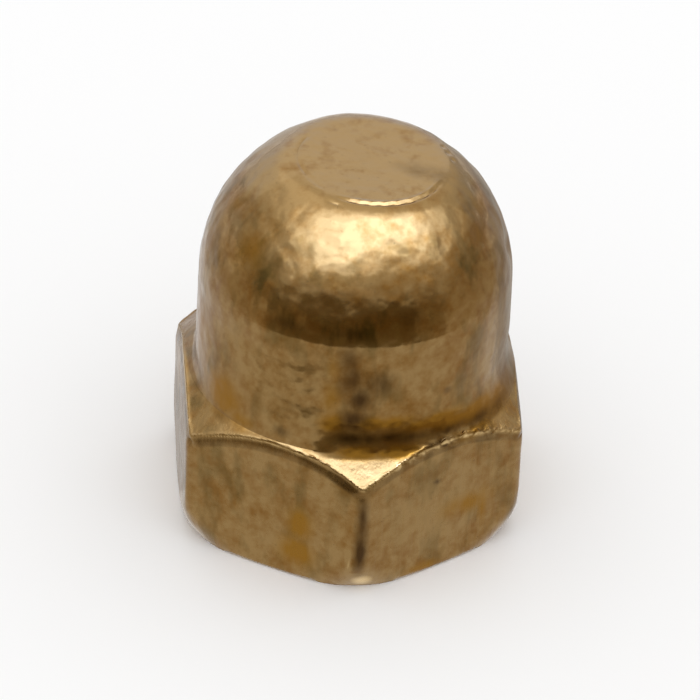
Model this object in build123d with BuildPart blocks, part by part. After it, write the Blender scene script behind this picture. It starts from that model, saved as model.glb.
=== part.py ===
"""Hexagon cap nut with a domed blind end, turned in one piece from hexagon brass bar.

Lengths are in millimetres and angles in degrees. The origin is the centre of the bearing
face, +Z runs up the thread axis to the crown, and two of the hexagon's corners lie on Y.
"""

from build123d import *

import os
from math import radians, sqrt, tan

# Hexagon bar
across_flats = 7.0
hex_sides = 6
bar_corner_radius = 0.2

# Bevels that the lathe leaves on the hexagon's corners, wide on the shoulder, steep at the base
hex_height = 3.2
shoulder_bevel_inset = 0.04
shoulder_bevel_angle = 45.0
base_bevel_reach = 0.16
base_bevel_angle = 60.0
bevel_edge_radius = 0.12

# Neck, dome and the small flat on the crown
neck_step = 0.25
neck_root_radius = 1.2
neck_height = 2.2
crown_flat_diameter = 3.3
crown_edge_radius = 0.12

# Blind hole at tapping size, with a countersunk mouth and the cone that the drill leaves
bore_diameter = 3.3
mouth_diameter = 4.4
mouth_angle = 120.0
drill_point_angle = 118.0
crown_wall = 2.0

# How far the turned outline runs past the flats, so that it clears the bar's corners
turning_overrun = 1.0

# Radii and heights of the turned outline
flat_radius = across_flats / 2
turning_radius = flat_radius + turning_overrun
shoulder_bevel_radius = flat_radius - shoulder_bevel_inset
base_bevel_radius = flat_radius + base_bevel_reach
neck_radius = flat_radius - neck_step
crown_flat_radius = crown_flat_diameter / 2

shoulder_bevel_slope = tan(radians(shoulder_bevel_angle))
base_bevel_slope = tan(radians(base_bevel_angle))
base_bevel_top = (turning_radius - base_bevel_radius) * base_bevel_slope
shoulder_bevel_foot = hex_height - (turning_radius - shoulder_bevel_radius) * shoulder_bevel_slope
neck_root_height = hex_height + (shoulder_bevel_radius - neck_radius) * shoulder_bevel_slope
dome_centre_height = hex_height + neck_height
total_height = dome_centre_height + sqrt(neck_radius**2 - crown_flat_radius**2)

# Radii and heights of the hole
bore_radius = bore_diameter / 2
mouth_radius = mouth_diameter / 2
mouth_depth = (mouth_radius - bore_radius) / tan(radians(mouth_angle / 2))
drill_tip_height = total_height - crown_wall
bore_end_height = drill_tip_height - bore_radius / tan(radians(drill_point_angle / 2))

with BuildPart() as cap_nut:
    # A length of hexagon bar with its drawn corners
    with BuildSketch():
        RegularPolygon(flat_radius, hex_sides, major_radius=False, rotation=180 / hex_sides)
    extrude(amount=total_height)
    fillet(cap_nut.edges().filter_by(Axis.Z), radius=bar_corner_radius)

    # All that is turned on the outside: base bevel, shoulder bevel, neck, dome and crown flat
    with BuildSketch(Plane.YZ) as turned_outline:
        with BuildLine():
            Polyline(
                (0, total_height),
                (0, 0),
                (base_bevel_radius, 0),
                (turning_radius, base_bevel_top),
                (turning_radius, shoulder_bevel_foot),
                (neck_radius, neck_root_height),
                (neck_radius, dome_centre_height),
            )
            RadiusArc(
                (neck_radius, dome_centre_height),
                (crown_flat_radius, total_height),
                -neck_radius,
            )
            Line((crown_flat_radius, total_height), (0, total_height))
        make_face()
        neck_root = turned_outline.vertices().sort_by_distance((neck_radius, neck_root_height))[0]
        fillet(neck_root, radius=neck_root_radius)
    revolve(axis=Axis.Z, mode=Mode.INTERSECT)

    # The curved lines where the bevels cut the flats and corners, worn round
    bevel_edges = cap_nut.edges().filter_by(
        lambda edge: edge.geom_type in (GeomType.HYPERBOLA, GeomType.BSPLINE)
    )
    fillet(bevel_edges, radius=bevel_edge_radius)

    # The rim of the crown flat, worn round
    crown_flat = cap_nut.faces().sort_by(Axis.Z)[-1]
    fillet(crown_flat.edges(), radius=crown_edge_radius)

    # The blind hole, from its mouth in the bearing face to the drill point under the crown
    with BuildSketch(Plane.YZ):
        with BuildLine():
            Polyline(
                (0, 0),
                (mouth_radius, 0),
                (bore_radius, mouth_depth),
                (bore_radius, bore_end_height),
                (0, drill_tip_height),
                close=True,
            )
        make_face()
    revolve(axis=Axis.Z, mode=Mode.SUBTRACT)

cap_nut.part.label = "cap_nut"

os.makedirs("parts", exist_ok=True)
export_step(cap_nut.part, "parts/cap_nut.step")
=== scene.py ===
"""Brass cap nut: the looks of one turned hexagon nut with a domed blind end.

Sizes are written in millimetres and modelled in metres. The origin is the centre of the
bearing face, +Z runs up to the crown, and one corner of the hexagon points along -Y.
Turns around the nut are in degrees from -Y, where a positive turn goes towards +X.
"""

from math import acos, cos, degrees, inf, pi, radians, sin, tan

import bpy
import numpy as np
from mathutils import Matrix, Vector, noise


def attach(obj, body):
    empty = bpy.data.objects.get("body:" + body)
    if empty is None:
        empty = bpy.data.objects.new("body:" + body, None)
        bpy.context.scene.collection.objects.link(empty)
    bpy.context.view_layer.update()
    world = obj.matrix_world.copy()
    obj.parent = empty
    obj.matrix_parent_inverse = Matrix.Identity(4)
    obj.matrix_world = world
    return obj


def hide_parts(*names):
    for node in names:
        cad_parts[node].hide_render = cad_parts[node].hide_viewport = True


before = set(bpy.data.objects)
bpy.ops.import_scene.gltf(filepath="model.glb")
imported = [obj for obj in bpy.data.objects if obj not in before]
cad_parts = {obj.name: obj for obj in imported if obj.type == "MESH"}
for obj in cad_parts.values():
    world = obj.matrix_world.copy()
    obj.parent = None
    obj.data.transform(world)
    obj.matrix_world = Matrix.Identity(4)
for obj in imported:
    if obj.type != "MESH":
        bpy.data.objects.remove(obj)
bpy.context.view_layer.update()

MM = 0.001

# Hexagon
FLAT_RADIUS = 3.5
HEX_HEIGHT = 3.2
HEX_SIDES = 6
BLANK_RADIUS = 4.1
SHOULDER_RADIUS = 3.46
SHOULDER_ANGLE = 45.0
BASE_BEVEL_RADIUS = 3.64
BASE_BEVEL_ANGLE = 60.0
BASE_EDGE_RADIUS = 0.05

# How round the flats' edges are worn, by height: base bevel, upright corners, shoulder arcs
WORN_HEIGHTS = (0.6, 1.2, 2.1, 2.6)
WORN_ROUNDING = (0.22, 0.08, 0.08, 0.06)

# Narrow band, curving in, that spanners have worn along the tops of the flats
WORN_BAND = 0.26
WORN_DEPTH = 0.05
WORN_GRAIN = 0.9
WORN_UNEVENNESS = 0.7

# The turns between which that band is shallower, and by what share
SPARED_TURNS = (5, 60)
SPARED_FADE = 6
SPARED_SHARE = 0.6

# Burr that the shoulder cut has left along the tops of the flats
BURR_HEIGHT = 0.04
BURR_WIDTH = 0.05
BURR_GRAIN = 0.12
BURR_UNEVENNESS = 0.5
BURR_SETBACK_SHARE = 0.8

# The turns between which the burr is ragged, and those where it is a little so
RAGGED_UNEVENNESS = 3.2
RAGGED_TURNS = (14, 58)
RAGGED_FADE = 8
CHIPPED_TURNS = (-28, -6)
CHIPPED_FADE = 6
CHIPPED_SHARE = 0.3

# Neck, dome and crown
NECK_RADIUS = 3.25
DOME_CENTRE_HEIGHT = 5.4
CROWN_HEIGHT = 8.18
CROWN_TILT = 3.2
CROWN_EDGE_ROUNDING = 0.16
TURNING_OFFSET = 0.044

# How far its tilt moves the crown flat's middle to the right
CROWN_SHIFT = 0.21

# Lip, groove, crease and dash on the crown: first turn, last turn, fade, radius, width, rise
CROWN_MARKS = [
    (-24, 62, 16, 1.49, 0.04, 0.018),
    (-24, 62, 16, 1.56, 0.035, -0.028),
    (-130, -50, 24, 1.46, 0.03, -0.024),
    (-34, -24, 5, 1.72, 0.03, -0.02),
]

# Shallow cut round the neck that ends in a line under the dome, on the side of the photograph
WAIST_RADIUS = 3.23
WAIST_TOP = 5.76
WAIST_TURNS = (-50, 36)
WAIST_TURN_FADE = 20
WAIST_FOOT = 3.8
WAIST_FOOT_FADE = 0.5

# Gentle flare of the neck down to the shoulder, on the side that the lathe tool left sloping
FLARE_RADIUS = 3.43
FLARE_HEIGHT = 3.23
FLARE_SLOPE = 0.09
FLARE_BEND = 0.02
FLARE_BEND_FADE = 0.2
FLARE_TOP_FADE = 0.4
FLARE_TURNS = (-95, -60, -20, -9)
FLARE_SHARES = (0, 1, 1, 0)

# Radius of the hollow at the neck's foot, by turn, and how far round it runs from upright
HOLLOW_TURNS = (-180, -125, -90, -12.5, 60, 85, 110, 180)
HOLLOW_RADII = (0.8, 0.6, 0.4, 1.75, 1.75, 1.5, 0.8, 0.8)
HOLLOW_END = 31.5

# Threaded hole
BORE_RADIUS = 1.65
MOUTH_RADIUS = 2.2
MOUTH_DEPTH = 0.3175
BORE_END = 5.209
DRILL_TIP = 6.2
THREAD_PITCH = 0.7
THREAD_RADIUS = 2.02
THREAD_RUN_IN = 0.3
THREAD_RUN_OUT = 0.9
THREAD_CREST_SHARE = 0.25
THREAD_FLANK_SHARE = 0.625

# How far above the drill tip every point is on the outside
HOLE_MARGIN = 0.1

# Uneven skin: grain and depth of its broad swells and of its crinkle, and where they fade
BROAD_SWELLS = (1.1, 0.03)
CRINKLE = (0.3, 0.022)
SKIN_FOOT = 0.1
SKIN_FADE = 0.3
CRINKLE_HEIGHTS = (HEX_HEIGHT, HEX_HEIGHT + 0.5, WAIST_TOP, WAIST_TOP + 0.3, 7.8, 8.05)
CRINKLE_SHARES = (0, 0.35, 0.35, 1, 1, 0.3)

# Mesh steps, the stretches where they are fine, and how near two points are merged
COLUMNS = 360
COARSE_STEP = 0.3
WALL_STEP = 0.1
SURFACE_STEP = 0.075
EDGE_STEP = 0.032
THREAD_STEP = THREAD_PITCH / 8
FINE_FOOT = 0.6
FINE_LINE = 1.7
SPIN_MERGE = 0.002
CUT_MERGE = 0.004
SMOOTH_ANGLE = 27

# Camera: where the photograph was taken from
CAMERA_TURN = -6.25
CAMERA_ELEVATION = 35.9
CAMERA_ROLL = 3.03
CAMERA_DISTANCE = 122.5
CAMERA_AIM = (-0.035, -0.472, 3.72)
CAMERA_CLIP = 10
FRAME_WIDTH = 14.54
SENSOR_WIDTH = 36

ROOT_HEIGHT = HEX_HEIGHT + (SHOULDER_RADIUS - NECK_RADIUS) * tan(radians(SHOULDER_ANGLE))
SHOULDER_FOOT = HEX_HEIGHT - (BLANK_RADIUS - SHOULDER_RADIUS) * tan(radians(SHOULDER_ANGLE))
BASE_BEVEL_TOP = (BLANK_RADIUS - BASE_BEVEL_RADIUS) * tan(radians(BASE_BEVEL_ANGLE))


def metres(*lengths):
    """A point or size in millimetres, as a vector in metres."""
    return Vector(lengths) * MM


def direction(turn, elevation):
    """Unit vector from the nut towards a turn around it and an elevation."""
    a, e = radians(turn), radians(elevation)
    return Vector((sin(a) * cos(e), -cos(a) * cos(e), sin(e)))


def colour(hex_code, alpha=1.0):
    """An sRGB hex colour as linear RGBA."""
    parts = [int(hex_code[i:i + 2], 16) / 255 for i in (1, 3, 5)]
    linear = [c / 12.92 if c <= 0.04045 else ((c + 0.055) / 1.055) ** 2.4 for c in parts]
    return (*linear, alpha)


def add_node(tree, kind, inputs=None, **settings):
    """Adds one node. An input given a socket is linked to it, and any other is set."""
    made = tree.nodes.new(kind)
    for name, value in settings.items():
        setattr(made, name, value)
    for name, value in (inputs or {}).items():
        if isinstance(value, bpy.types.NodeSocket):
            tree.links.new(value, made.inputs[name])
        else:
            made.inputs[name].default_value = value
    return made


def bell(distance, width):
    """One at no distance, falling off smoothly over a width."""
    return np.exp(-((distance / width) ** 2))


def within(value, low, high, fade):
    """One between two limits, fading to nothing across each."""
    rise = np.clip((value - low) / fade + 0.5, 0, 1)
    fall = np.clip((high - value) / fade + 0.5, 0, 1)
    return rise * fall


def turns_of(points):
    return np.degrees(np.arctan2(points[:, 0], -points[:, 1]))


def radii_of(points):
    return np.hypot(points[:, 0], points[:, 1])


def grain_of(points, size):
    """Even noise from minus one to one over the surface, with grains of one size."""
    return np.array([noise.noise(Vector(p) / size) for p in points])


def straight(start, end, step):
    """Points of a straight run of the outline, without its end."""
    count = max(1, round(np.hypot(end[0] - start[0], end[1] - start[1]) / step))
    return [tuple(np.add(start, np.subtract(end, start) * i / count)) for i in range(count)]


def arc(centre, radius, start, end, step):
    """Points of a round run of the outline between two angles, without its end."""
    count = max(1, round(abs(radians(end - start)) * radius / step))
    angles = [radians(start + (end - start) * i / count) for i in range(count)]
    return [(centre[0] + radius * cos(a), centre[1] + radius * sin(a)) for a in angles]


def turned_outline():
    """Radius and height of the lathe's outline, from the drill tip round to the crown."""
    rim = 90 - degrees(acos((CROWN_HEIGHT - DOME_CENTRE_HEIGHT) / NECK_RADIUS))
    rim_low, rim_high = rim - 2 * CROWN_TILT, rim + 2 * CROWN_TILT
    dome = (0, DOME_CENTRE_HEIGHT)
    line = degrees(acos(WAIST_RADIUS / NECK_RADIUS))
    root_top = ROOT_HEIGHT + FINE_FOOT
    return (
        straight((0, DRILL_TIP), (BORE_RADIUS, BORE_END), COARSE_STEP)
        + straight((BORE_RADIUS, BORE_END), (BORE_RADIUS, MOUTH_DEPTH), THREAD_STEP)
        + straight((BORE_RADIUS, MOUTH_DEPTH), (MOUTH_RADIUS, 0), THREAD_STEP)
        + straight((MOUTH_RADIUS, 0), (BASE_BEVEL_RADIUS, 0), COARSE_STEP)
        + straight((BASE_BEVEL_RADIUS, 0), (BLANK_RADIUS, BASE_BEVEL_TOP), SURFACE_STEP)
        + straight((BLANK_RADIUS, BASE_BEVEL_TOP), (BLANK_RADIUS, SHOULDER_FOOT), WALL_STEP)
        + straight((BLANK_RADIUS, SHOULDER_FOOT), (NECK_RADIUS, ROOT_HEIGHT), EDGE_STEP)
        + straight((NECK_RADIUS, ROOT_HEIGHT), (NECK_RADIUS, root_top), EDGE_STEP)
        + straight((NECK_RADIUS, root_top), (NECK_RADIUS, DOME_CENTRE_HEIGHT), SURFACE_STEP)
        + arc(dome, NECK_RADIUS, 0, line - FINE_LINE, SURFACE_STEP)
        + arc(dome, NECK_RADIUS, line - FINE_LINE, line + FINE_LINE, EDGE_STEP)
        + arc(dome, NECK_RADIUS, line + FINE_LINE, rim_low, SURFACE_STEP)
        + arc(dome, NECK_RADIUS, rim_low, rim_high, EDGE_STEP)
        + arc(dome, NECK_RADIUS, rim_high, 90, SURFACE_STEP)
        + [(0, DOME_CENTRE_HEIGHT + NECK_RADIUS)]
    )


def spin_blank(name, outline):
    """Spins the outline round the thread axis into a closed blank."""
    mesh = bpy.data.meshes.new(name)
    points = [metres(radius, 0, height) for radius, height in outline]
    mesh.from_pydata(points, [(i, i + 1) for i in range(len(points) - 1)], [])
    blank = bpy.data.objects.new(name, mesh)
    bpy.context.collection.objects.link(blank)
    bpy.ops.object.select_all(action="DESELECT")
    bpy.context.view_layer.objects.active = blank
    blank.select_set(True)
    bpy.ops.object.mode_set(mode="EDIT")
    bpy.ops.mesh.select_all(action="SELECT")
    bpy.ops.mesh.spin(steps=COLUMNS, angle=2 * pi, center=(0, 0, 0), axis=(0, 0, 1))
    bpy.ops.mesh.select_all(action="SELECT")
    bpy.ops.mesh.remove_doubles(threshold=SPIN_MERGE * MM)
    bpy.ops.mesh.normals_make_consistent(inside=False)
    bpy.ops.object.mode_set(mode="OBJECT")
    return blank


def read_points(piece):
    """The piece's vertices in millimetres, one row each."""
    flat = np.empty(len(piece.data.vertices) * 3)
    piece.data.vertices.foreach_get("co", flat)
    return flat.reshape(-1, 3) / MM


def write_points(piece, points):
    piece.data.vertices.foreach_set("co", (points * MM).ravel())
    piece.data.update()


def press(points, normal, height, rounding):
    """What a cutting plane takes off each point, with a rounded edge."""
    over = points @ normal - height
    near = np.clip(over, -rounding, rounding)
    cut = np.where(over > rounding, over, (near + rounding) ** 2 / (4 * rounding))
    return cut[:, None] * normal


def cut_thread(points):
    """A right-hand metric thread in the wall of the hole, running in and out at its ends. The
    wall's rows are first sloped to follow the thread."""
    x, y, z = points.T
    radius = radii_of(points)
    around = np.arctan2(y, x) / (2 * pi)
    in_hole = (np.abs(radius - BORE_RADIUS) < EDGE_STEP) & (z < BORE_END + EDGE_STEP)
    from_mouth, from_end = z - MOUTH_DEPTH, BORE_END - z
    room = np.clip(np.minimum(from_mouth, from_end) / THREAD_RUN_OUT, 0, 1)
    sloped = z + in_hole * room * THREAD_PITCH * around
    phase = np.abs((sloped / THREAD_PITCH - around) % 1 - 0.5) * 2
    groove = np.clip((phase - THREAD_CREST_SHARE) / THREAD_FLANK_SHARE, 0, 1)
    groove *= np.clip(from_mouth / THREAD_RUN_IN, 0, 1) * np.clip(from_end / THREAD_RUN_OUT, 0, 1)
    depth = in_hole * (THREAD_RADIUS - BORE_RADIUS) * groove
    grown = 1 + depth / np.maximum(radius, EDGE_STEP)
    return np.column_stack((x * grown, y * grown, sloped))


def flare_share(points):
    """How much of the flare each point has, by its turn."""
    return np.interp(turns_of(points), FLARE_TURNS, FLARE_SHARES)


def fill_root(points):
    """Fills the neck's foot out: a gentle flare on one side, and a round hollow on the other."""
    radius, height = radii_of(points), points[:, 2]
    end = radians(HOLLOW_END)
    hollow = np.interp(turns_of(points), HOLLOW_TURNS, HOLLOW_RADII)
    top = ROOT_HEIGHT + hollow * (sin(end) + cos(end) - 1)
    drop = np.clip(top - height, 0, hollow)
    round_foot = NECK_RADIUS + hollow - np.sqrt(hollow**2 - drop**2)
    hollow_fill = np.maximum(round_foot - radius, 0) * (drop < hollow * sin(end) + EDGE_STEP)
    over = FLARE_RADIUS - FLARE_SLOPE * (height - FLARE_HEIGHT) - radius
    bend = FLARE_BEND * np.clip((height - ROOT_HEIGHT) / FLARE_BEND_FADE, 0, 1)
    flare_fill = (over + np.hypot(over, bend)) / 2 * (height > FLARE_HEIGHT)
    flare_fill *= np.clip((DOME_CENTRE_HEIGHT - height) / FLARE_TOP_FADE, 0, 1)
    share = flare_share(points)
    fill = share * flare_fill + (1 - share) * hollow_fill
    fill *= (radius > NECK_RADIUS - EDGE_STEP) & (height < DOME_CENTRE_HEIGHT)
    filled = points.copy()
    filled[:, :2] *= (1 + fill / np.maximum(radius, EDGE_STEP))[:, None]
    return filled


def shoulder_height(points):
    """How high the turned shoulder stands over each point."""
    radius = np.hypot(points[:, 0] - TURNING_OFFSET, points[:, 1])
    cone = HEX_HEIGHT - (radius - SHOULDER_RADIUS) * tan(radians(SHOULDER_ANGLE))
    flare = FLARE_HEIGHT + (FLARE_RADIUS - radius) / FLARE_SLOPE
    return cone + flare_share(points) * np.maximum(flare - cone, 0)


def cut_waist(points):
    """The shallow cut round the neck, which fades out towards both sides."""
    radius = radii_of(points)
    share = within(turns_of(points), *WAIST_TURNS, WAIST_TURN_FADE)
    share *= np.clip((points[:, 2] - WAIST_FOOT) / WAIST_FOOT_FADE, 0, 1)
    share *= (radius > THREAD_RADIUS) & (points[:, 2] < WAIST_TOP + EDGE_STEP)
    cut = share * np.maximum(np.minimum(radius, NECK_RADIUS) - WAIST_RADIUS, 0)
    waisted = points.copy()
    waisted[:, :2] *= (1 - cut / np.maximum(radius, EDGE_STEP))[:, None]
    return waisted


def shift_turning(points):
    """The lathe's centre stood a little off the bar's: moves shoulder, neck, dome and crown."""
    outside = (radii_of(points) > THREAD_RADIUS) | (points[:, 2] > DRILL_TIP)
    moved = points.copy()
    moved[:, 0] += TURNING_OFFSET * (outside & (points[:, 2] > SHOULDER_FOOT + EDGE_STEP / 2))
    return moved


def flat_normals():
    """The ways that the flats face."""
    turns = [360 * (side + 0.5) / HEX_SIDES for side in range(HEX_SIDES)]
    return [np.array(direction(turn, 0)) for turn in turns]


def over_flats(points):
    """How far each point stands out over the nearest flat."""
    over = np.full(len(points), -inf)
    for normal in flat_normals():
        over = np.maximum(over, points @ normal - FLAT_RADIUS)
    return over


def worn_depth(points):
    """How deep spanners have worn the flats' tops: less on the flat to the right."""
    spared = within(turns_of(points), *SPARED_TURNS, SPARED_FADE)
    return WORN_DEPTH * (1 - SPARED_SHARE * spared)


def flat_tops(points, width):
    """One along the edge between the shoulder and the flats, falling off over a width."""
    above = points[:, 2] - shoulder_height(points)
    setback = BURR_SETBACK_SHARE * worn_depth(points)
    edge = bell(over_flats(points) + setback, width) * bell(above, width)
    return edge * (radii_of(points) > NECK_RADIUS)


def raise_burr(points):
    """A thin ridge along the edge between the shoulder and the flats, ragged on one flat."""
    ridge = BURR_HEIGHT * flat_tops(points, BURR_WIDTH)
    turn = turns_of(points)
    ragged = within(turn, *RAGGED_TURNS, RAGGED_FADE)
    ragged += CHIPPED_SHARE * within(turn, *CHIPPED_TURNS, CHIPPED_FADE)
    unevenness = BURR_UNEVENNESS + RAGGED_UNEVENNESS * ragged
    near = ridge > BURR_HEIGHT / 100
    ridge[near] *= 1 + unevenness[near] * grain_of(points[near], BURR_GRAIN)
    raised = points.copy()
    raised[:, 2] += ridge
    return raised


def mill_flats(points):
    """Six flats with a worn band along their tops, and a rounded edge at the bearing face."""
    rounding = np.interp(points[:, 2], WORN_HEIGHTS, WORN_ROUNDING)
    cuts = np.zeros_like(points)
    near = np.abs(points[:, 2] - shoulder_height(points)) < 2 * WORN_BAND
    uneven = np.ones(len(points))
    uneven[near] += WORN_UNEVENNESS * grain_of(points[near], WORN_GRAIN)
    for normal in flat_normals():
        on_flat = points - (points @ normal - FLAT_RADIUS)[:, None] * normal
        below_top = shoulder_height(on_flat) - points[:, 2]
        worn = worn_depth(points) * uneven * np.clip(1 - below_top / WORN_BAND, 0, 1) ** 2
        cuts += press(points, normal, FLAT_RADIUS - worn, rounding)
    inside = np.clip(over_flats(points) + BASE_EDGE_RADIUS, 0, BASE_EDGE_RADIUS)
    lift = BASE_EDGE_RADIUS - np.sqrt(BASE_EDGE_RADIUS**2 - inside**2)
    milled = points - cuts
    milled[:, 2] = np.maximum(milled[:, 2], lift)
    return milled


def face_crown(points):
    """The small flat on the crown: tilted, with a turned-up lip in front and a crease on the left."""
    normal = np.array(direction(CAMERA_TURN + 90, 90 - CROWN_TILT))
    centre = np.array((0, 0, CROWN_HEIGHT))
    faced = points - press(points, normal, centre @ normal, CROWN_EDGE_ROUNDING)
    from_middle = faced - np.array(direction(CAMERA_TURN + 90, 0)) * CROWN_SHIFT
    turn = turns_of(from_middle)
    radius = radii_of(from_middle)
    on_top = points[:, 2] > DOME_CENTRE_HEIGHT + NECK_RADIUS / 2
    change = np.zeros(len(points))
    for first, last, fade, ring, half_width, rise in CROWN_MARKS:
        line = within(turn, first, last, fade) * on_top
        change += rise * bell(radius - ring, half_width) * line
    return faced + change[:, None] * normal


def spot(points, turn, height, half_width, half_height):
    """One at a place on the outside, falling off smoothly around it."""
    away = (turns_of(points) - turn + 180) % 360 - 180
    across = np.radians(away) * radii_of(points) / half_width
    along = (points[:, 2] - height) / half_height
    return np.exp(-across**2 - along**2)


def on_outside(points):
    """Which points are on the outside, and not in the hole."""
    return (radii_of(points) > THREAD_RADIUS) | (points[:, 2] > DRILL_TIP + HOLE_MARGIN)


# Dents, pits and a scratch: turn, height, half width, half height and depth
DENTS = [
    (84, 6.2, 0.3, 0.28, 0.08),
    (-19, 7.87, 0.22, 0.035, 0.02),
    (-40, 7.9, 0.1, 0.04, 0.02),
    (103, 8.05, 0.08, 0.04, 0.025),
    (96, 8.02, 0.07, 0.03, 0.025),
    (110, 8.06, 0.06, 0.03, 0.025),
    (178, 6.9, 0.2, 0.1, 0.03),
    (-140, 7.3, 0.08, 0.12, 0.025),
]


def dent_dome(points):
    """Small knocks in the dome, pushed towards its centre."""
    out = points - np.array((TURNING_OFFSET, 0, DOME_CENTRE_HEIGHT))
    out /= np.linalg.norm(out, axis=1)[:, None]
    outside = on_outside(points) & (points[:, 2] > DOME_CENTRE_HEIGHT)
    depth = np.zeros(len(points))
    for *place, dent in DENTS:
        depth += dent * spot(points, *place)
    return points - (depth * outside)[:, None] * out


def weight_group(piece, name, weights):
    """A vertex group with weights in tenths."""
    group = piece.vertex_groups.new(name=name)
    tenths = np.round(np.clip(weights, 0, 1) * 10).astype(int)
    for tenth in range(1, 11):
        chosen = np.nonzero(tenths == tenth)[0].tolist()
        if chosen:
            group.add(chosen, tenth / 10, "REPLACE")


def roughen(piece, name, grain, depth, group):
    """Uneven skin: clouds of one grain size, pushed in and out along the surface."""
    clouds = bpy.data.textures.new(name, "CLOUDS")
    clouds.noise_scale = grain * MM
    clouds.noise_depth = 0
    uneven = piece.modifiers.new(name, "DISPLACE")
    uneven.texture = clouds
    uneven.texture_coords = "LOCAL"
    uneven.strength = depth * MM
    uneven.mid_level = 0.5
    uneven.vertex_group = group
    bpy.ops.object.modifier_apply(modifier=name)


# Dark marks and orange stains: turn, height, half width, half height and strength
DARK_MARKS = [
    (-6.0, 5.35, 0.24, 0.5, 0.75),
    (-5.0, 4.95, 0.26, 0.5, 0.85),
    (4.0, 4.85, 0.45, 0.4, 0.55),
    (-1.5, 4.45, 0.3, 0.4, 0.8),
    (-3.2, 3.98, 0.32, 0.26, 0.95),
    # Darker along the round hollow at the neck's foot and just below it, on the right
    (-5.0, 3.56, 0.4, 0.13, 0.8),
    (8.0, 3.55, 0.7, 0.1, 0.72),
    (20.7, 3.5, 0.7, 0.1, 0.75),
    (33.0, 3.43, 0.6, 0.11, 0.68),
    (46.0, 3.36, 0.5, 0.12, 0.6),
    (26.0, 3.24, 0.4, 0.08, 1.1),
    (58.0, 3.3, 0.5, 0.14, 0.5),
    (30.0, 3.17, 0.6, 0.08, 1.1),
    (44.0, 3.1, 0.5, 0.1, 0.7),
    # Stains low on the dome at the front
    (16.8, 6.35, 0.35, 0.28, 0.4),
    (-6.2, 6.06, 0.35, 0.2, 0.4),
    (-30.0, 6.03, 0.4, 0.15, 0.35),
    # A dark line down the front corner
    (0.6, 1.9, 0.13, 0.8, 1.0),
    (0.2, 1.2, 0.14, 0.7, 1.0),
    # Other small stains
    (27.7, 2.27, 0.1, 0.08, 0.6),
    (32.7, 4.35, 0.12, 0.1, 0.6),
    (-28.3, 3.5, 0.22, 0.14, 0.5),
    (-53.6, 3.2, 0.3, 0.12, 0.35),
    (74.0, 8.08, 0.35, 0.06, 0.4),
]
ORANGE_STAINS = [
    (-11.2, 5.2, 0.16, 0.35, 0.35),
    (-12.2, 4.45, 0.22, 0.45, 0.4),
    (-11.2, 3.85, 0.25, 0.25, 0.95),
    (-55.0, 3.66, 0.45, 0.38, 1.1),
    (-46.0, 3.35, 0.3, 0.2, 0.8),
    (33.0, 3.56, 0.5, 0.12, 1.2),
    (-80.0, 4.5, 0.5, 0.8, 0.6),
    (6.8, 3.86, 0.7, 0.15, 1.0),
    (25.7, 3.7, 0.7, 0.15, 1.2),
    (48.5, 3.52, 0.6, 0.17, 1.2),
    (60.0, 3.4, 0.6, 0.25, 1.0),
    (42.0, 3.15, 0.6, 0.12, 0.8),
    (-1.0, 3.28, 0.5, 0.13, 1.1),
    (12.7, 3.25, 0.6, 0.13, 1.1),
    (-19.6, 1.38, 0.3, 0.4, 0.7),
    (-20.9, 0.66, 0.4, 0.35, 0.8),
    (40.4, 1.4, 0.6, 0.25, 0.7),
    (47.0, 1.2, 0.12, 0.5, 0.6),
    (22.7, 0.12, 0.4, 0.14, 0.7),
    (-56.5, 7.0, 0.45, 0.45, 0.45),
]

# Places where handling has rubbed the brown film thin; the first two lie where the dome's highlight
# and the shoulder's highlight triangle fall, and are partly a painted highlight that pales them
RUBBED_AND_HIGHLIGHT_PATCHES = [
    # The dome's highlight: rubbed thin, and partly a painted highlight
    (2.0, 7.4, 0.9, 0.45, 0.4),
    # The shoulder's highlight triangle: rubbed thin, and partly a painted highlight
    (2.0, 2.95, 0.8, 0.24, 1.0),
    (-16.0, 6.35, 0.3, 0.15, 0.7),
    (-20.0, 4.6, 0.5, 0.6, 0.9),
    (-50.0, 4.8, 0.8, 0.6, 0.5),
    (14.0, 5.0, 0.4, 0.5, 0.5),
    (-8.0, 1.8, 0.15, 0.9, 0.6),
    (14.0, 1.4, 0.6, 0.8, 0.9),
    (58.0, 4.4, 0.5, 0.7, 0.6),
    (-52.0, 4.1, 0.4, 0.3, 0.9),
    (-30.0, 4.2, 0.8, 0.6, 0.6),
    (32.0, 1.5, 1.5, 1.2, 0.4),
]

# Bare metal, and pale patches painted as highlights
BARE_AND_HIGHLIGHT_PATCHES = [
    # Painted highlight: pale brass at the front corner's foot, standing in for a bright reflection
    # there
    (1.5, 0.22, 0.3, 0.25, 1.0),
    # The shoulder's highlight triangle at the front corner: partly bare metal, partly a painted
    # highlight
    (2.0, 2.95, 0.7, 0.2, 0.39),
    # A pale line down the left of the front corner
    (-3.2, 0.8, 0.05, 0.35, 0.7),
]

# Places where the brown film has stayed thick
FILMED = [
    (-8.0, 6.2, 1.9, 0.45, 0.95),
    (-46.0, 6.7, 0.6, 0.5, 0.9),
    (-58.0, 7.1, 0.6, 0.45, 0.95),
    (44.0, 6.9, 0.7, 0.55, 0.9),
    (60.0, 7.2, 0.7, 0.5, 0.9),
    (120.0, 6.6, 1.2, 0.7, 0.9),
    (190.0, 6.9, 1.5, 0.6, 0.9),
    (-110.0, 6.5, 1.0, 0.6, 0.9),
]

# How much of it there is elsewhere, by height
FILM_HEIGHTS = (0, 3.2, 6.5, 7.6, 8.1)
FILM_COVER = (0.4, 0.45, 0.5, 0.4, -0.78)
FILM_LINE_FADE = 0.06

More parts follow.
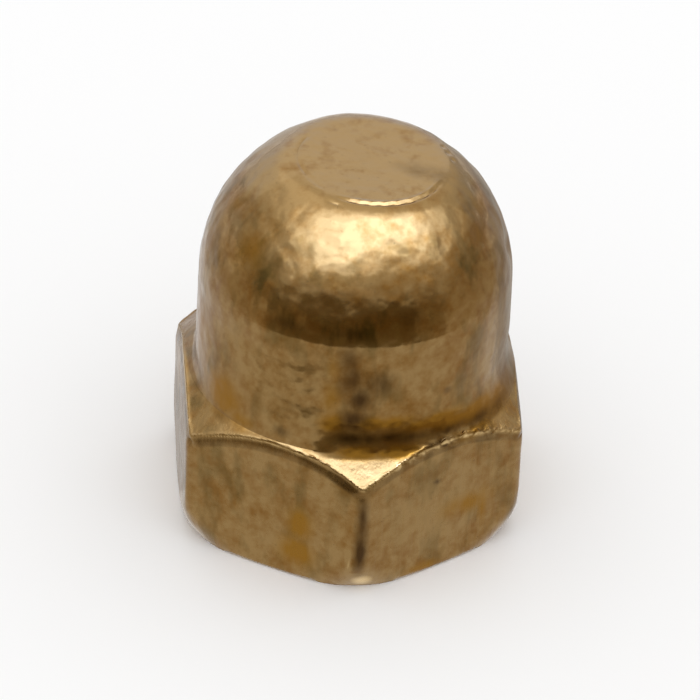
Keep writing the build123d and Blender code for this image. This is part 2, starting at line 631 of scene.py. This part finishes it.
# Bare metal along the flats' tops, and crumbs of it beside the ragged burr
BARE_EDGE_WIDTH = 0.04
BARE_EDGE_SHARE = 0.8
CRUMB_WIDTH = 0.11
CRUMB_TURNS = (8, 56)
CRUMB_FADE = 8
CRUMB_LEAST = 0.05
CRUMB_SHARE = 0.3
CRUMB_CONTRAST = 2.4

# How much of a stain bare metal loses, and how far below nought bare metal and the painted highlights
# take the film
CLEAN_SHARE = 0.9
BARE_AND_HIGHLIGHT_DEPTH = 2.5

# Painted shade: a dark line under the flats' top edges, by the distance below them
UNDER_EDGE = (0.03, 0.2)
UNDER_EDGE_FADE = 0.06
UNDER_EDGE_SHARE = 0.4

# Satin of the flats: how far under the hexagon's top it ends, and inside the flats it begins
SATIN_END = 0.05
SATIN_FADE = 0.1
FLAT_MARGIN = 0.1

# Stains on the far side, by chance: seeds and counts, then the limits of what is drawn
FAR_DARK = (5, 12)
FAR_ORANGE = (8, 16)
FAR_TURNS = (75, 285)
FAR_HEIGHTS = (0.2, 7.6)
FAR_SIZES = (0.12, 0.45)
FAR_STRENGTHS = (0.4, 0.9)


def scattered_stains(seed, count):
    """Stains on the far side, which the photograph doesn't show."""
    chance = np.random.RandomState(seed)
    turns = chance.uniform(*FAR_TURNS, count)
    heights = chance.uniform(*FAR_HEIGHTS, count)
    sizes = chance.uniform(*FAR_SIZES, (count, 2))
    strengths = chance.uniform(*FAR_STRENGTHS, count)
    return list(zip(turns, heights, sizes[:, 0], sizes[:, 1], strengths))


def stain_depth(points, stains):
    """How strongly a list of stains marks each point."""
    depth = np.zeros(len(points))
    for *place, strength in stains:
        depth = np.maximum(depth, strength * spot(points, *place))
    return depth * on_outside(points)


def mark_wear(piece):
    """Per point: dark marks, and the painted shade under the flats' top edges, in red, orange in
    green, the flats' satin in alpha, and in blue the brown film, which is below nought on bare metal
    and on the pale patches painted as highlights."""
    points = read_points(piece)
    film = np.interp(points[:, 2], FILM_HEIGHTS, FILM_COVER)
    above_line = within(points[:, 2], WAIST_TOP, inf, FILM_LINE_FADE)
    film = np.maximum(film, stain_depth(points, FILMED) * above_line)
    bare_and_highlight = stain_depth(points, BARE_AND_HIGHLIGHT_PATCHES)
    tops = flat_tops(points, BARE_EDGE_WIDTH)
    bare_and_highlight = np.maximum(bare_and_highlight, BARE_EDGE_SHARE * tops)
    crumbs = flat_tops(points, CRUMB_WIDTH) * within(turns_of(points), *CRUMB_TURNS, CRUMB_FADE)
    near = crumbs > CRUMB_LEAST
    grain = grain_of(points[near], BURR_GRAIN)
    crumbs[near] *= np.clip(CRUMB_SHARE + CRUMB_CONTRAST * grain, 0, 1)
    bare_and_highlight = np.maximum(bare_and_highlight, crumbs)
    on_flats = radii_of(points) > FLAT_RADIUS - FLAT_MARGIN
    below_top = shoulder_height(points) - points[:, 2]
    # Painted shade under the flats' top edges
    shade_under_edge = within(below_top, *UNDER_EDGE, UNDER_EDGE_FADE) * on_flats
    wear = np.ones((len(points), 4))
    dark = stain_depth(points, DARK_MARKS + scattered_stains(*FAR_DARK))
    dark *= 1 - CLEAN_SHARE * np.maximum(tops, crumbs)
    orange = stain_depth(points, ORANGE_STAINS + scattered_stains(*FAR_ORANGE))
    wear[:, 0] = np.maximum(dark, UNDER_EDGE_SHARE * shade_under_edge)
    wear[:, 1] = orange * (1 - CLEAN_SHARE * tops)
    wear[:, 2] = film * (1 - stain_depth(points, RUBBED_AND_HIGHLIGHT_PATCHES)) - BARE_AND_HIGHLIGHT_DEPTH * bare_and_highlight
    wear[:, 3] = within(points[:, 2], -inf, HEX_HEIGHT - SATIN_END, SATIN_FADE) * on_flats
    marks = piece.data.color_attributes.new("wear", "FLOAT_COLOR", "POINT")
    marks.data.foreach_set("color", wear.ravel())


def make_nut():
    nut = spin_blank("cap_nut_brass", turned_outline())
    points = read_points(nut)
    points = cut_thread(points)
    points = fill_root(points)
    points = cut_waist(points)
    points = shift_turning(points)
    points = dent_dome(points)
    points = face_crown(points)
    points = raise_burr(points)
    points = mill_flats(points)
    write_points(nut, points)
    bpy.ops.object.mode_set(mode="EDIT")
    bpy.ops.mesh.select_all(action="SELECT")
    bpy.ops.mesh.remove_doubles(threshold=CUT_MERGE * MM)
    bpy.ops.object.mode_set(mode="OBJECT")
    bpy.ops.object.shade_smooth_by_angle(angle=radians(SMOOTH_ANGLE))
    points = read_points(nut)
    radius = radii_of(points)
    outside = (radius > MOUTH_RADIUS) | (points[:, 2] > DRILL_TIP + HOLE_MARGIN)
    turned = outside & (points[:, 2] > HEX_HEIGHT)
    uneven = np.clip((points[:, 2] - SKIN_FOOT) / SKIN_FADE, 0, 1)
    weight_group(nut, "outside", outside * uneven)
    crinkled = np.interp(points[:, 2], CRINKLE_HEIGHTS, CRINKLE_SHARES)
    weight_group(nut, "turned", turned * crinkled)
    roughen(nut, "broad_unevenness", *BROAD_SWELLS, "outside")
    roughen(nut, "crinkle", *CRINKLE, "turned")
    nut.vertex_groups.clear()
    mark_wear(nut)
    return nut


def cells(size):
    """Cells per metre of a pattern whose cells have a size in millimetres."""
    return 1 / (size * MM)


def brass_material():
    """Turned brass, handled and tarnished: a glossy brown film on the dome, rubbed thin on the crown
    and neck and, partly as a painted highlight, where the highlights fall, satin on the flats,
    clouded with olive and spotted with orange and dark marks, with painted shade under the flats' top
    edges and pale brass painted as highlights at the front corner."""
    material = bpy.data.materials.new("tarnished_brass")
    material.use_nodes = True
    tree = material.node_tree
    shader = tree.nodes["Principled BSDF"]
    shader.inputs["Metallic"].default_value = 1.0
    shader.inputs["Coat Weight"].default_value = 0.12
    shader.inputs["Coat Roughness"].default_value = 0.25

    place = add_node(tree, "ShaderNodeTexCoord").outputs["Object"]
    marks = add_node(tree, "ShaderNodeAttribute", attribute_name="wear")
    split = add_node(tree, "ShaderNodeSeparateColor", {"Color": marks.outputs["Color"]})
    dark, orange, film = (split.outputs[name] for name in ("Red", "Green", "Blue"))
    satin = marks.outputs["Alpha"]

    clouds = add_node(tree, "ShaderNodeTexNoise", {
        "Vector": place, "Scale": cells(1.1), "Detail": 5.0, "Roughness": 0.6,
    }).outputs["Fac"]
    mottle = add_node(tree, "ShaderNodeTexNoise", {
        "Vector": place, "Scale": cells(0.3), "Detail": 4.0, "Roughness": 0.6,
    }).outputs["Fac"]
    hanging = add_node(tree, "ShaderNodeMapping", {
        "Vector": place, "Scale": (1.0, 1.0, 0.4), "Location": (0.02, 0.01, 0.0),
    }).outputs["Vector"]
    patches = add_node(tree, "ShaderNodeTexNoise", {
        "Vector": hanging, "Scale": cells(0.5), "Detail": 3.0, "Roughness": 0.55,
    }).outputs["Fac"]
    fleck = add_node(tree, "ShaderNodeTexNoise", {
        "Vector": place, "Scale": cells(0.1), "Detail": 3.0, "Roughness": 0.6,
    }).outputs["Fac"]

    clouded_film = add_node(tree, "ShaderNodeMath", {
        0: clouds, 1: 2.6, 2: film,
    }, operation="MULTIPLY_ADD").outputs["Value"]
    mottled_film = add_node(tree, "ShaderNodeMath", {
        0: mottle, 1: 2.6, 2: clouded_film,
    }, operation="MULTIPLY_ADD").outputs["Value"]
    cover = add_node(tree, "ShaderNodeMapRange", {
        "Value": mottled_film, "From Min": 2.6, "From Max": 3.6,
    }).outputs["Result"]
    tarnished = add_node(tree, "ShaderNodeMix", {
        "Factor": cover, "A": colour("#98794A"), "B": colour("#825C28"),
    }, data_type="RGBA").outputs["Result"]
    olive_share = add_node(tree, "ShaderNodeMapRange", {
        "Value": patches, "From Min": 0.5, "From Max": 0.66, "To Max": 1.2,
    }).outputs["Result"]
    olive_film = add_node(tree, "ShaderNodeMath", {
        0: olive_share, 1: film,
    }, operation="MULTIPLY", use_clamp=True).outputs["Value"]
    clouded = add_node(tree, "ShaderNodeMix", {
        "Factor": olive_film, "A": tarnished, "B": colour("#5F4A20"),
    }, data_type="RGBA").outputs["Result"]
    # Pale brass for bare metal, and for the highlights painted at the front corner
    bare_and_highlight_share = add_node(tree, "ShaderNodeMapRange", {
        "Value": film, "From Min": -0.8, "From Max": -2.0, "To Max": 0.9,
    }).outputs["Result"]
    bare_and_highlight_colour = add_node(tree, "ShaderNodeMix", {
        "Factor": bare_and_highlight_share, "A": clouded, "B": colour("#E0C088"),
    }, data_type="RGBA").outputs["Result"]
    ragged_orange = add_node(tree, "ShaderNodeMath", {
        0: patches, 1: orange,
    }, operation="MULTIPLY").outputs["Value"]
    orange_share = add_node(tree, "ShaderNodeMapRange", {
        "Value": ragged_orange, "From Min": 0.04, "From Max": 0.34, "To Max": 0.95,
    }).outputs["Result"]
    spotted = add_node(tree, "ShaderNodeMix", {
        "Factor": orange_share, "A": bare_and_highlight_colour, "B": colour("#8E631A"),
    }, data_type="RGBA").outputs["Result"]
    ragged_dark = add_node(tree, "ShaderNodeMath", {
        0: patches, 1: dark,
    }, operation="MULTIPLY").outputs["Value"]
    dark_share = add_node(tree, "ShaderNodeMapRange", {
        "Value": ragged_dark, "From Min": 0.05, "From Max": 0.45, "To Max": 0.95,
    }).outputs["Result"]
    stained = add_node(tree, "ShaderNodeMix", {
        "Factor": dark_share, "A": spotted, "B": colour("#40290C"),
    }, data_type="RGBA").outputs["Result"]
    speck_share = add_node(tree, "ShaderNodeMapRange", {
        "Value": fleck, "From Min": 0.66, "From Max": 0.76, "To Max": 0.35,
    }).outputs["Result"]
    specked = add_node(tree, "ShaderNodeMix", {
        "Factor": speck_share, "A": stained, "B": colour("#42300F"),
    }, data_type="RGBA").outputs["Result"]
    tree.links.new(specked, shader.inputs["Base Color"])

    gloss = add_node(tree, "ShaderNodeMapRange", {
        "Value": mottle, "From Min": 0.3, "From Max": 0.7, "To Min": 0.15, "To Max": 0.27,
    }).outputs["Result"]
    duller = add_node(tree, "ShaderNodeMath", {
        0: satin, 1: 0.06, 2: gloss,
    }, operation="MULTIPLY_ADD").outputs["Value"]
    tree.links.new(duller, shader.inputs["Roughness"])

    drawn = add_node(tree, "ShaderNodeMapping", {
        "Vector": place, "Scale": (1.0, 1.0, 0.08),
    }).outputs["Vector"]
    streaks = add_node(tree, "ShaderNodeTexNoise", {
        "Vector": drawn, "Scale": cells(0.1), "Detail": 2.0, "Roughness": 0.5,
    }).outputs["Fac"]
    crinkle = add_node(tree, "ShaderNodeTexNoise", {
        "Vector": place, "Scale": cells(0.26), "Detail": 1.0, "Roughness": 0.5,
    }).outputs["Fac"]
    skin = add_node(tree, "ShaderNodeMix", {
        "Factor": satin, "A": crinkle, "B": streaks,
    }).outputs["Result"]
    bump = add_node(tree, "ShaderNodeBump", {
        "Height": skin, "Strength": 0.38, "Distance": 0.03 * MM,
    }).outputs["Normal"]
    tree.links.new(bump, shader.inputs["Normal"])
    return material


def add_mesh(name, points, faces):
    mesh = bpy.data.meshes.new(name)
    mesh.from_pydata(points, [], faces)
    made = bpy.data.objects.new(name, mesh)
    bpy.context.collection.objects.link(made)
    return made


def paper_material(name, hex_code):
    """Plain matt paper."""
    material = bpy.data.materials.new(name)
    material.use_nodes = True
    shader = material.node_tree.nodes["Principled BSDF"]
    shader.inputs["Base Color"].default_value = colour(hex_code)
    shader.inputs["Roughness"].default_value = 0.9
    shader.inputs["Specular IOR Level"].default_value = 0.0
    return material


FLOOR_HALF_WIDTH = 600


def make_floor():
    half = FLOOR_HALF_WIDTH * MM
    corners = [(-half, -half, 0), (half, -half, 0), (half, half, 0), (-half, half, 0)]
    floor = add_mesh("floor", corners, [(0, 1, 2, 3)])
    floor.data.materials.append(paper_material("white_paper", "#F9F9F9"))


def lit_material(name, radiance):
    """Evenly lit white paper."""
    material = paper_material(name, "#000000")
    shader = material.node_tree.nodes["Principled BSDF"]
    shader.inputs["Emission Color"].default_value = (1, 1, 1, 1)
    shader.inputs["Emission Strength"].default_value = radiance
    return material


# Cards of plain paper: name, colour, inner and outer radius, lift, top, first and last turn
PAPER_CARDS = [
    ("dark_card", "#82744F", 14.5, 58, 0.07, 16, -36, 42),
    ("dim_card", "#A29476", 14.5, 60, 0.06, 14, -58, 64),
    ("grey_card", "#CCC4B4", 14.5, 62, 0.04, 9, -92, 112),
    ("rear_left_card", "#D8D4CE", 14.5, 64, 0.05, 0.06, -172, -92),
    ("rear_card", "#BDB8B0", 5.5, 64, 0.05, 0.06, 112, 172),
]

# Cards of lit paper: name, radiance, then the same
LIT_CARDS = [
    ("near_card", 0.85, 3.3, 15, 0.02, 0.03, -180, 180),
    ("near_left_card", 0.68, 3.3, 5.6, 0.028, 0.03, -165, -78),
]
CARD_STEP = 5


def make_card(material, inner, outer, lift, top, left, right):
    """A card on the floor round the nut, with a wall at its outer edge. Only reflections see it."""
    count = round((right - left) / CARD_STEP)
    points, faces = [], []
    for i in range(count + 1):
        out = direction(CAMERA_TURN + left + (right - left) * i / count, 0) * MM
        points += [out * inner + metres(0, 0, lift), out * outer + metres(0, 0, lift)]
        points += [out * outer + metres(0, 0, top)]
    for i in range(count):
        a, b = 3 * i, 3 * i + 3
        faces += [(a, b, b + 1, a + 1), (a + 1, b + 1, b + 2, a + 2)]
    card = add_mesh(material.name, points, faces)
    card.data.materials.append(material)
    card.visible_camera = False
    card.visible_diffuse = False
    card.visible_shadow = False
    card.visible_transmission = False


def make_cards():
    for name, hex_code, *place in PAPER_CARDS:
        make_card(paper_material(name, hex_code), *place)
    for name, radiance, *place in LIT_CARDS:
        make_card(lit_material(name, radiance), *place)


# Softboxes: name, turn from the camera, elevation, distance, width, height, radiance, colour
SOFTBOXES = [
    ("front_lamp", 27, 62, 140, 160, 60, 2.4, "#B4CCFF"),
    ("front_softbox", 19, 66, 150, 270, 95, 2.8, "#B4CCFF"),
    ("front_glow", 16, 66, 160, 560, 175, 1.5, "#CADBFF"),
    ("back_softbox", -160, 24, 220, 330, 170, 0.55, "#CADBFF"),
    ("left_softbox", -105, 55, 200, 200, 120, 0.45, "#D8E4FF"),
]

# Strength of the room's light, level with the floor and overhead
ROOM_LEVEL = 0.55
ROOM_OVERHEAD = 1.3


def add_softbox(name, turn, elevation, distance, width, height, radiance, hex_code):
    """A softbox that the metal reflects. The room's even light does the rest."""
    light = bpy.data.lights.new(name, "AREA")
    light.shape = "RECTANGLE"
    light.size, light.size_y = width * MM, height * MM
    light.energy = radiance * pi * light.size * light.size_y
    light.color = colour(hex_code)[:3]
    lamp = bpy.data.objects.new(name, light)
    bpy.context.collection.objects.link(lamp)
    back = direction(CAMERA_TURN + turn, elevation)
    lamp.location = metres(0, 0, DOME_CENTRE_HEIGHT) + back * distance * MM
    lamp.rotation_mode = "QUATERNION"
    lamp.rotation_quaternion = (-back).to_track_quat("-Z", "Y")
    lamp.visible_camera = False
    lamp.visible_diffuse = False


def make_lights():
    for softbox in SOFTBOXES:
        add_softbox(*softbox)
    world = bpy.data.worlds.new("plain_room")
    world.use_nodes = True
    tree = world.node_tree
    background = tree.nodes["Background"]
    background.inputs["Color"].default_value = (1, 1, 1, 1)
    looking = add_node(tree, "ShaderNodeTexCoord").outputs["Generated"]
    height = add_node(tree, "ShaderNodeSeparateXYZ", {"Vector": looking}).outputs["Z"]
    glow = add_node(tree, "ShaderNodeMapRange", {
        "Value": height, "To Min": ROOM_LEVEL, "To Max": ROOM_OVERHEAD,
    }).outputs["Result"]
    to_camera = add_node(tree, "ShaderNodeLightPath").outputs["Is Camera Ray"]
    strength = add_node(tree, "ShaderNodeMix", {
        "Factor": to_camera, "A": glow, "B": 1.0,
    }).outputs["Result"]
    tree.links.new(strength, background.inputs["Strength"])
    bpy.context.scene.world = world


def make_camera():
    camera = bpy.data.objects.new("camera", bpy.data.cameras.new("camera"))
    bpy.context.collection.objects.link(camera)
    back = direction(CAMERA_TURN, CAMERA_ELEVATION)
    right = Vector((0, 0, 1)).cross(back).normalized()
    up = back.cross(right)
    roll = radians(CAMERA_ROLL)
    across = right * cos(roll) + up * sin(roll)
    above = up * cos(roll) - right * sin(roll)
    turned = Matrix((across, above, back)).transposed().to_4x4()
    turned.translation = metres(*CAMERA_AIM) + back * CAMERA_DISTANCE * MM
    camera.matrix_world = turned
    camera.data.sensor_width = SENSOR_WIDTH
    camera.data.lens = SENSOR_WIDTH * CAMERA_DISTANCE / FRAME_WIDTH
    camera.data.clip_start = CAMERA_CLIP * MM
    bpy.context.scene.camera = camera


nut = make_nut()
nut.data.materials.append(brass_material())
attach(nut, "root")
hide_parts("cap_nut")
make_floor()
make_cards()
make_lights()
make_camera()
bpy.context.scene.view_settings.view_transform = "Standard"
